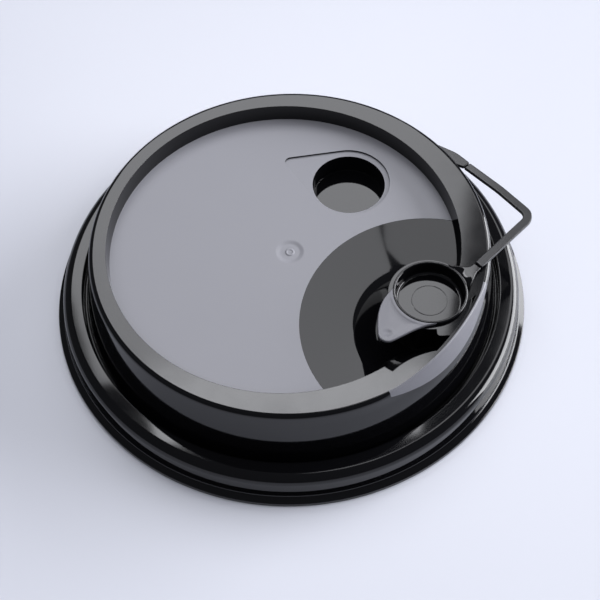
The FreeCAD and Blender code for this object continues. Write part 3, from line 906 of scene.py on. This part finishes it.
    def build_rim_and_wall(self) -> np.ndarray:
        """Builds the turned outside and inside in one grid, and returns its two open edges.

        Columns run from the ring's outer edge down the crown's wall, round the rim's section, and
        up the inside of the wall. Rows run once round the axis.

        Returns:
            Plan points of the top's outline, then of the underside's, stacked.
        """
        angle = (np.arange(self.steps_round) * TURN / self.steps_round)[:, None]
        levels, on_lip = self.outer_levels(angle)
        ceiling = self.top - self.wall
        inner = np.unique(np.round(np.concatenate([
            np.arange(self.join, ceiling - 0.1, 0.8),
            ceiling - 0.1 * (1 - np.sin(np.linspace(0, QUARTER, 5)))]), 4))[None, :]
        section = self.rim_section()
        ones = np.ones_like(angle)
        radii = np.hstack([
            self.crown_side(angle, levels, 0.0), section.points[1:-1, 0] * ones,
            self.crown_side(angle, inner, self.wall)])
        heights = np.hstack([levels, section.points[1:-1, 1] * ones, inner * ones])
        points = np.stack([radii * np.cos(angle), radii * np.sin(angle), heights], axis=-1)
        around = np.roll(points, -1, axis=0) - np.roll(points, 1, axis=0)
        normals = np.cross(around, np.gradient(points, axis=1))
        normals /= np.maximum(np.linalg.norm(normals, axis=-1, keepdims=True), 1e-12)
        first = levels.shape[1]
        middle = slice(first, first + len(section.points) - 2)
        out, up = section.facing[1:-1, 0] * ones, section.facing[1:-1, 1] * ones
        exact = np.stack([out * np.cos(angle), out * np.sin(angle), up], axis=-1)
        normals *= np.sign((normals[:, middle] * exact).sum(-1).mean())
        normals[:, middle] = exact
        faces = grid_faces(*points.shape[:2])
        row, column = np.divmod(faces.min(axis=1), points.shape[1])
        # Faces on the lip take the frosted finish, whose grey colour is painted sheen.
        slots = (column < on_lip[row]).astype(int)
        self.made.append(make_object(
            "rim_and_crown_wall", points.reshape(-1, 3), faces, normals.reshape(-1, 3),
            [self.finishes.gloss, self.finishes.frosted_painted_sheen], slots))
        return np.stack([points[:, 0, :2], points[:, -1, :2]])

    def build_top(self, form: CrownTop, outline: np.ndarray, name: str) -> None:
        """Builds a face of the crown: zones in plan, with walls where they meet at a step.

        The plan is cut into triangles along every outline. Each zone's triangles take their heights
        from that zone alone, and an edge between two heights gets a wall that leans by the draft.

        Args:
            form: Heights and zones, drawn in by the wall for the underside.
            outline: Plan points of the outer edge.
            name: Name of the object.
        """
        plan, triangles = plan_triangles([(outline, True), *form.outlines()], form.dots())
        middle = plan[triangles].mean(axis=1)
        edge = np.hypot(*outline.T)
        heading = np.arctan2(middle[:, 1], middle[:, 0]) % TURN
        turns = np.linspace(0, TURN, len(outline) + 1)
        inside = np.hypot(*middle.T) < np.interp(heading, turns, np.append(edge, edge[0]))
        triangles, middle = triangles[inside], middle[inside]
        zone = form.zones(middle)
        kept = zone != Zone.BORE.value
        key = triangles * 16 + zone[:, None]
        unique, back = np.unique(key[kept].ravel(), return_inverse=True)
        flat, part = plan[unique // 16], unique % 16
        walls, wall_normals = self.step_walls(form, plan, triangles, zone)
        wall_faces = split_quads(np.arange(len(walls)).reshape(-1, 4)) + len(flat)
        points = np.vstack([np.column_stack([flat, form.height(flat, part)]), walls])
        normals = np.vstack([form.facing(flat, part), wall_normals])
        faces = np.vstack([back.reshape(-1, 3), wall_faces])
        slots = np.zeros(len(faces), int)
        if form.skin > 0:
            faces, normals = faces[:, ::-1], -normals
        else:
            # The disc and the parking drop take the disc finish, whose grey colour is painted
            # sheen.
            satin_painted_sheen = np.isin(zone[kept], [Zone.DISC.value, Zone.PARKING.value])
            slots[:len(satin_painted_sheen)] = np.where(satin_painted_sheen, 2, zone[kept] == Zone.RING.value)
        materials = [self.finishes.gloss, self.finishes.ring, self.finishes.disc]
        self.made.append(make_object(name, points, faces, normals, materials, slots))

    def step_walls(self, form: CrownTop, plan: np.ndarray, triangles: np.ndarray,
                   zone: np.ndarray) -> tuple[np.ndarray, np.ndarray]:
        """Walls between neighbouring zones whose heights differ.

        Args:
            form: Heights and zones.
            plan: Plan points.
            triangles: Triangles, anticlockwise.
            zone: Zone of each triangle.

        Returns:
            Four corners for each wall, and the facing of each, averaged along a smooth outline.
        """
        half = half_edges(triangles)
        owner = np.tile(np.arange(len(triangles)), 3)
        code = half[:, 0].astype(np.int64) * len(plan) + half[:, 1]
        twin_code = half[:, 1].astype(np.int64) * len(plan) + half[:, 0]
        order = np.argsort(code)
        spot = order[np.clip(np.searchsorted(code[order], twin_code), 0, len(code) - 1)]
        low_zone = zone[owner]
        high_zone = np.where(code[spot] == twin_code, zone[owner[spot]], -1)
        ends = (plan[half[:, 0]], plan[half[:, 1]])
        bore = low_zone == Zone.BORE.value
        mouth = form.floor_level - form.wall
        low = [np.where(bore, mouth, form.height(end, low_zone)) for end in ends]
        high = [form.height(end, high_zone) for end in ends]
        rise = np.maximum(high[0] - low[0], high[1] - low[1])
        wanted = (high_zone >= 0) & (high_zone != low_zone) & (rise > 1e-3)
        wanted &= high_zone != Zone.BORE.value
        if form.skin > 0:
            wanted &= ~bore
        normal = left_of(unit(ends[1][wanted] - ends[0][wanted]))
        total = np.zeros((len(plan), 2))
        for side in (0, 1):
            np.add.at(total, half[wanted, side], normal)
        total /= np.maximum(np.hypot(*total.T), 1e-9)[:, None]
        into_pocket = np.isin(low_zone, [Zone.DISC.value, Zone.FAN.value])
        deep = (into_pocket & (high_zone == Zone.RING.value))[wanted]
        draft = np.where(deep, self.pocket_draft, self.step_draft)
        feet, heads, facings = [], [], []
        for side in (0, 1):
            mean = total[half[wanted, side]]
            alike = (mean * normal).sum(1) > math.cos(math.radians(self.smooth_limit))
            facing = np.where(alike[:, None], mean, normal)
            end, base = ends[side][wanted], low[side][wanted]
            head = np.maximum(high[side][wanted], base)
            lean = (draft * (head - base))[:, None] * facing
            feet.append(np.column_stack([end + lean, base]))
            heads.append(np.column_stack([end, head]))
            facings.append(np.column_stack([facing, np.full(len(facing), 0.05)]))
        corners = np.stack([heads[0], heads[1], feet[1], feet[0]], axis=1)
        facing = np.stack([facings[0], facings[1], facings[1], facings[0]], axis=1)
        return corners.reshape(-1, 3), facing.reshape(-1, 3)

    def build(self) -> list[bpy.types.Object]:
        """Builds the whole body and returns its pieces."""
        top, under = self.build_rim_and_wall()
        self.build_top(CrownTop(), top, "crown_top")
        self.build_top(CrownTop(skin=self.wall), under, "crown_underside")
        return self.made


# ---------------------------------------------------------------- stopper and strap


@dataclass(frozen=True)
class Tether:
    """Flat V-shaped strip that holds the stopper, rooted on the lid, with its neck at the stopper.

    The strip lies in a plane that leans about the x direction: it climbs towards the stopper, so
    that its height is that of its root plus the lean times the way towards the front.
    """

    finishes: Finishes
    root: tuple[float, float] = (36.29, 18.25)
    elbow: tuple[float, float] = (47.6, 4.45)
    neck: tuple[float, float] = (35.903, -7.501)
    root_top: float = 18.35
    neck_top: float = 19.65
    width: float = 1.75
    thickness: float = 0.8
    web_thickness: float = 0.28
    web_inset: float = 0.25
    web_overlap: float = 0.04
    end_round: float = 0.15
    elbow_round: float = 1.5
    bow: float = 0.35
    bow_round: float = 20.0
    gap: float = 0.2
    edge_round: float = 0.22
    stub_length: float = 3.6
    stub_round: float = 8.0
    anchor: tuple[float, float] = (30.0, 24.7)
    heel: tuple[float, float] = (33.7, 18.7)

    def height(self, plan: np.ndarray) -> np.ndarray:
        """Height of the strip's top face over plan points."""
        lean = (self.neck_top - self.root_top) / (self.root[1] - self.neck[1])
        return self.root_top + lean * (self.root[1] - plan[:, 1])

    def plate(self, corners: list[Corner], sunk: float = 0.0) -> Plate:
        """Plate over (x, y, radius) corners, sunk below the strip's top, down to its underside."""
        thick = self.thickness - sunk
        radius = min(self.edge_round, thick / 2.2)
        return Plate(
            rounded_plan(corners),
            lambda plan, depth: self.height(plan) - sunk - rounded_drop(depth, radius),
            lambda plan, depth: self.height(plan) - sunk - thick + rounded_drop(depth, radius),
        )

    def arms(self) -> tuple[np.ndarray, ...]:
        """Root, elbow and neck, and the unit directions of the outward and the inward arm."""
        root, elbow, neck = (np.array(p) for p in (self.root, self.elbow, self.neck))
        return root, elbow, neck, unit(elbow - root), unit(neck - elbow)

    def neck_corners(self, shift: float) -> list[np.ndarray]:
        """Right and left corner of the inner arm, cut along the hinge's axis, moved by a shift."""
        _, _, neck, outward, inward = self.arms()
        axis = left_of(outward)
        found = []
        for side in (-self.width / 2, self.width / 2):
            corner = neck + side * left_of(inward)
            cut = float((neck - corner) @ axis) / float(inward @ axis)
            found.append(corner + inward * (shift + cut))
        return found

    def strip(self) -> bpy.types.Object:
        """The strip between its two hinges."""
        root, elbow, _, outward, inward = self.arms()
        side, tight = left_of(outward), self.end_round
        half = self.width / 2
        mitre = side + left_of(inward)
        mitre = mitre * half / float(mitre @ side)
        start = root + outward * self.gap / 2
        right_end, left_end = self.neck_corners(-self.gap / 2)
        middle = (root + elbow) / 2 + side * self.bow
        outline = [
            (*(start + side * half), tight), (*(start - side * half), tight),
            (*(middle - side * half), self.bow_round),
            (*(elbow - mitre), self.elbow_round), (*right_end, tight), (*left_end, tight),
            (*(elbow + mitre), self.elbow_round + self.width),
            (*(middle + side * half), self.bow_round),
        ]
        # The strip, like its root and webs, takes the strap finish, whose lighter base is painted
        # sheen.
        return self.plate(outline).build("strap_strip", [self.finishes.strap])

    def webs(self) -> list[bpy.types.Object]:
        """The thin webs that bend, one across each gap."""
        root, _, neck, outward, inward = self.arms()
        found = []
        for name, middle, way in (("root_web", root, outward), ("neck_web", neck, inward)):
            across = left_of(way) * (self.width / 2 - self.web_inset)
            reach = way * (self.gap / 2 + self.web_overlap)
            corners = (-reach - across, reach - across, reach + across, across - reach)
            outline = [(*(middle + corner), 0.0) for corner in corners]
            plate = self.plate(outline, self.thickness - self.web_thickness)
            found.append(plate.build(name, [self.finishes.strap]))
        return found

    def stub(self) -> bpy.types.Object:
        """Root of the strip: it leaves the crown's edge at a slant and ends at the first hinge."""
        root, _, _, outward, _ = self.arms()
        side = left_of(outward) * self.width / 2
        tip = root - outward * self.gap / 2
        bend = tip - outward * self.stub_length
        outline = [
            (*(tip + side), self.end_round), (*(bend + side), self.stub_round),
            (*self.anchor, 0.0), (*self.heel, 0.0), (*(tip - side), self.end_round),
        ]
        return self.plate(outline).build("strap_root", [self.finishes.strap])


@dataclass(frozen=True)
class Stopper:
    """Hollow plug with a flange, a raised rim and a dished tab, and the neck that ties it on."""

    finishes: Finishes
    tether: Tether
    cup: Circle = Circle(26.353, -13.301, 7.1)
    tip: Circle = Circle(17.753, -22.301, 1.75)
    seat: float = 18.7
    rim_top: float = 19.45
    floor: float = 16.4
    underside: float = 14.1
    tab_top: float = 19.3
    tab_dish: float = 0.09
    tab_edge: float = 0.2
    tab_low_edge: float = 0.15
    tab_depths: tuple[float, ...] = (
        0.02, 0.05, 0.1, 0.16, 0.22, 0.32, 0.44, 0.56, 0.68, 0.8, 0.95, 1.15, 1.4, 1.7, 2.0, 2.4,
        2.8, 3.3)
    neck_spread: float = 3.4
    neck_bend: float = 1.6
    neck_ease: float = 1.6
    neck_sunk: float = 0.16

    def tab_outline(self) -> np.ndarray:
        """Outline of the tab in plan: two cubic sides from the cup's rim to the tip's circle."""
        tip = self.tip
        tip_left = (tip.x - tip.radius, tip.y)
        far = cubic((19.32, -12.31), (16.17, -15.52), (15.95, -18.7), tip_left, 40)
        near = cubic((18.49, -23.89), (21.03, -22.71), (23.8, -20.65), (26.97, -20.37), 40)
        end = tip.at(np.radians(np.linspace(180, 295, 24))[1:-1])
        back = self.cup.grown(-0.35).at(np.radians(np.linspace(-85, -188, 40))[1:-1])
        return np.vstack([far, end, near, back])

    def tab_height(self, plan: np.ndarray, depth: np.ndarray) -> np.ndarray:
        """Height of the tab's dished top.

        The edge rounds over, the face sinks smoothly to the dish, rises again in a fillet to the
        cup's rim, and has a small dimple with a soft collar at the tip.
        """
        from_cup = self.cup.distance(plan) - self.cup.radius
        shallow = np.where(from_cup < 0.5, np.minimum(depth, 1.0), depth)
        edge = rounded_drop(np.minimum(np.where(from_cup < 0.15, 1.0, depth), 1.0), self.tab_edge)
        dish = self.tab_dish * eased_step((shallow - 0.15) / 2.2)
        fillet = 0.2 * np.exp(-np.maximum(from_cup, 0) / 0.3)
        from_tip = np.hypot(plan[:, 0] - self.tip.x - 0.12, plan[:, 1] - self.tip.y - 0.1)
        collar = 0.02 * np.exp(-(((from_tip - 1.0) / 0.3) ** 2))
        dimple = 0.09 * np.exp(-((from_tip / 0.55) ** 2)) - collar
        return np.minimum(self.tab_top - edge - dish + fillet - dimple, self.rim_top - 0.1)

    def tab(self) -> bpy.types.Object:
        """The tab that a finger lifts."""
        plate = Plate(
            self.tab_outline(), self.tab_height,
            lambda plan, depth: self.seat + rounded_drop(depth, self.tab_low_edge),
            self.tab_depths)
        # The tab takes the frosted finish, whose grey colour is painted sheen.
        return plate.build("stopper_tab", [self.finishes.frosted_painted_sheen])

    def neck(self) -> bpy.types.Object:
        """The web from the cup's rim to the second hinge, with a fillet on each side."""
        _, _, neck, _, inward = self.tether.arms()
        half = left_of(inward) * self.tether.width / 2
        right_face, left_face = self.tether.neck_corners(self.tether.gap / 2)
        bend = neck + inward * self.neck_bend
        way = unit(self.cup.centre - neck)
        spread = left_of(way) * self.neck_spread
        near_rim = self.cup.centre - way * (self.cup.radius - 0.45)
        outline = [
            (*left_face, 0.12), (*(bend + half), 1.8), (*(near_rim + spread), 0.0),
            (*(near_rim - spread), 0.0), (*(bend - half), 1.8), (*right_face, 0.12),
        ]
        flat = self.tether.plate(outline, self.neck_sunk)

        def top(plan: np.ndarray, depth: np.ndarray) -> np.ndarray:
            """Height that sinks from the strip's plane to just under the cup's rim."""
            near = eased_step((self.cup.distance(plan) - self.cup.radius) / self.neck_ease)
            low = self.rim_top - 0.34 - rounded_drop(depth, 0.2)
            return flat.top(plan, depth) * near + low * (1 - near)

        return Plate(flat.outline, top, flat.bottom).build("stopper_neck", [self.finishes.gloss])

    def plug(self) -> bpy.types.Object:
        """The turned cup: plug, flange and raised rim, with a faint ring on its floor."""
        floor, top, cup = self.floor, self.rim_top, self.cup.radius
        section = rounded_section([
            (0.0, floor, 0), (3.3, floor, 0.1), (3.36, floor + 0.02, 0.1), (3.46, floor, 0.1),
            (6.4, floor, 0.6), (6.56, top, 0.26), (cup, top, 0.26), (cup, self.seat, 0.12),
            (6.6, self.seat, 0.15), (6.4, self.underside, 0.5), (0.0, self.underside, 0),
        ], turn=12.0, run=1.5)
        return turned("stopper_cup", self.cup, section, [self.finishes.gloss])

    def build(self) -> list[bpy.types.Object]:
        """Builds every piece of the stopper."""
        return [self.plug(), self.tab(), self.neck()]


# ---------------------------------------------------------------- studio and camera


def link_at(name: str, data: bpy.types.ID, spot: Vector, turn: Quaternion) -> bpy.types.Object:
    """Links an object with the given data to the scene, at a place in metres and with a turn."""
    made = bpy.data.objects.new(name, data)
    made.matrix_world = Matrix.LocRotScale(spot, turn, None)
    bpy.context.scene.collection.objects.link(made)
    return made


@dataclass(frozen=True)
class ViewPoint:
    """Camera that looks down at the lid from the front, as read from the lid's circles."""

    elevation: float = 56.17
    roll: float = 1.28
    distance: float = 260.0
    focal_px: float = 1256.3
    frame_px: float = 600.0
    shift_x: float = -1.79
    shift_y: float = 1.29
    sensor: float = 36.0
    clip: tuple[float, float] = (0.01, 20.0)

    def build(self) -> None:
        """Makes the camera and sets it as the scene's."""
        climb, roll = math.radians(self.elevation), math.radians(self.roll)
        forward = Vector((0, math.cos(climb), -math.sin(climb)))
        up = Vector((0, math.sin(climb), math.cos(climb)))
        side = Vector((1, 0, 0))
        spot = -self.shift_x * side - self.shift_y * up - self.distance * forward
        right = math.cos(roll) * side - math.sin(roll) * up
        top = math.sin(roll) * side + math.cos(roll) * up
        turn = Matrix((right, top, -forward)).transposed()
        data = bpy.data.cameras.new("camera")
        data.sensor_width = self.sensor
        data.lens = self.focal_px * self.sensor / self.frame_px
        data.clip_start, data.clip_end = self.clip
        bpy.context.scene.camera = link_at("camera", data, spot * MM, turn.to_quaternion())


@dataclass(frozen=True)
class Panel:
    """Soft light panel that faces the lid from a direction, with an even radiance.

    Angles are in degrees and the distance is in metres. The half width and half height are the
    angles that the panel spans as seen from the lid.
    """

    name: str
    azimuth: float
    elevation: float
    distance: float
    half_width: float
    half_height: float
    radiance: float
    mirrored: bool = True
    upright: bool = False
    colour: tuple[float, float, float] = (0.95, 0.96, 1.0)

    def build(self) -> None:
        """Makes the light: its power is pi times the radiance times the area.

        An upright panel stands on edge, so that its sides keep to one azimuth from bottom to top.
        """
        turn, climb = math.radians(self.azimuth), math.radians(self.elevation)
        half = math.radians(self.half_height)
        width = 2 * self.distance * math.tan(math.radians(self.half_width))
        height = 2 * self.distance * math.tan(half)
        level = Vector((math.sin(turn), math.cos(turn), 0))
        way = level * math.cos(climb) + Vector((0, 0, math.sin(climb)))
        spot, back = way * self.distance, -way
        if self.upright:
            low, high = (self.distance * math.tan(climb + side) for side in (-half, half))
            height = high - low
            back = -level
            spot = level * self.distance + Vector((0, 0, (low + high) / 2))
        data = bpy.data.lights.new(self.name, "AREA")
        data.shape = "RECTANGLE"
        data.size, data.size_y = width, height
        data.energy = math.pi * self.radiance * width * height
        data.color = self.colour
        made = link_at(self.name, data, spot, back.to_track_quat("-Z", "Y"))
        made.visible_glossy = self.mirrored


@dataclass(frozen=True)
class Studio:
    """Pale table, soft panels and a plain surround that is dimmer as a light than as a view."""

    floor_half: float = 1.6
    floor_colour: str = "#cbcdd6"
    surround: tuple[float, float, float, float] = (0.86, 0.89, 1.0, 1.0)
    surround_lit: float = 0.12
    surround_seen: float = 0.8
    panels: tuple[Panel, ...] = (
        Panel("window", -3.1, 50.2, 1.0, 17.3, 9.8, 4.4, upright=True),
        Panel("window_top", -1.5, 61.7, 1.0, 14.5, 1.7, 8.0, upright=True),
        Panel("right_wall", 33.5, 54.6, 1.0, 14.0, 15.6, 2.5, upright=True),
        Panel("ceiling", 23.0, 74.5, 1.5, 5.0, 3.7, 2.2),
        Panel("right_low", 74.0, 19.0, 1.2, 26.0, 16.0, 10.8),
        Panel("fill", 0.0, 88.0, 1.5, 40.0, 40.0, 0.95, mirrored=False),
    )

    def build_floor(self) -> None:
        """Makes the table as one flat square."""
        square = np.array([[-1, -1, 0], [1, -1, 0], [1, 1, 0], [-1, 1, 0]], float)
        material = bpy.data.materials.new("painted_table")
        tree = empty_tree(material)
        shader = add_node(tree, "ShaderNodeBsdfPrincipled", {
            "Base Color": linear(self.floor_colour), "Roughness": 0.3, "IOR": 1.45})
        add_node(tree, "ShaderNodeOutputMaterial", None, {"Surface": shader.outputs["BSDF"]})
        floor = make_object(
            "table", square * self.floor_half / MM, np.array([[0, 1, 2, 3]]), None, [material])

    def build(self) -> None:
        """Makes the table, the lights and the surround's even light."""
        self.build_floor()
        for panel in self.panels:
            panel.build()
        world = bpy.data.worlds.new("surround")
        tree = empty_tree(world)
        seen = add_node(tree, "ShaderNodeLightPath").outputs["Is Camera Ray"]
        strength = add_node(tree, "ShaderNodeMapRange", {
            "To Min": self.surround_lit, "To Max": self.surround_seen}, {"Value": seen})
        background = add_node(tree, "ShaderNodeBackground", {"Color": self.surround},
                              {"Strength": strength.outputs["Result"]})
        add_node(tree, "ShaderNodeOutputWorld", None, {"Surface": background.outputs["Background"]})
        bpy.context.scene.world = world
        bpy.context.scene.view_settings.view_transform = "Standard"


def dress(pieces: list[bpy.types.Object], body: str, node: str | None) -> None:
    """Hands pieces to a body of the frame, and hides the solid that they stand for.

    Args:
        pieces: Objects at the origin.
        body: Body that they move with.
        node: Solid that they replace, or none where other pieces do.
    """
    for piece in pieces:
        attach(piece, body)
        if node:
            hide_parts(node)
        log.info("%s: %d faces", piece.name, len(piece.data.polygons))


def main() -> None:
    """Builds the lid, dresses it and sets it on its table."""
    logging.basicConfig(level=logging.INFO, format="%(name)s: %(message)s")
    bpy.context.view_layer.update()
    finishes = Finishes.build()
    dress(LidBody(finishes).build(), "lid", "lid_body")
    tether = Tether(finishes)
    dress([tether.stub()], "lid", None)
    dress([tether.strip(), *tether.webs()], "tether", "strap")
    dress(Stopper(finishes, tether).build(), "plug", "stopper")
    Studio().build()
    ViewPoint().build()


if __name__ == "__main__":
    main()
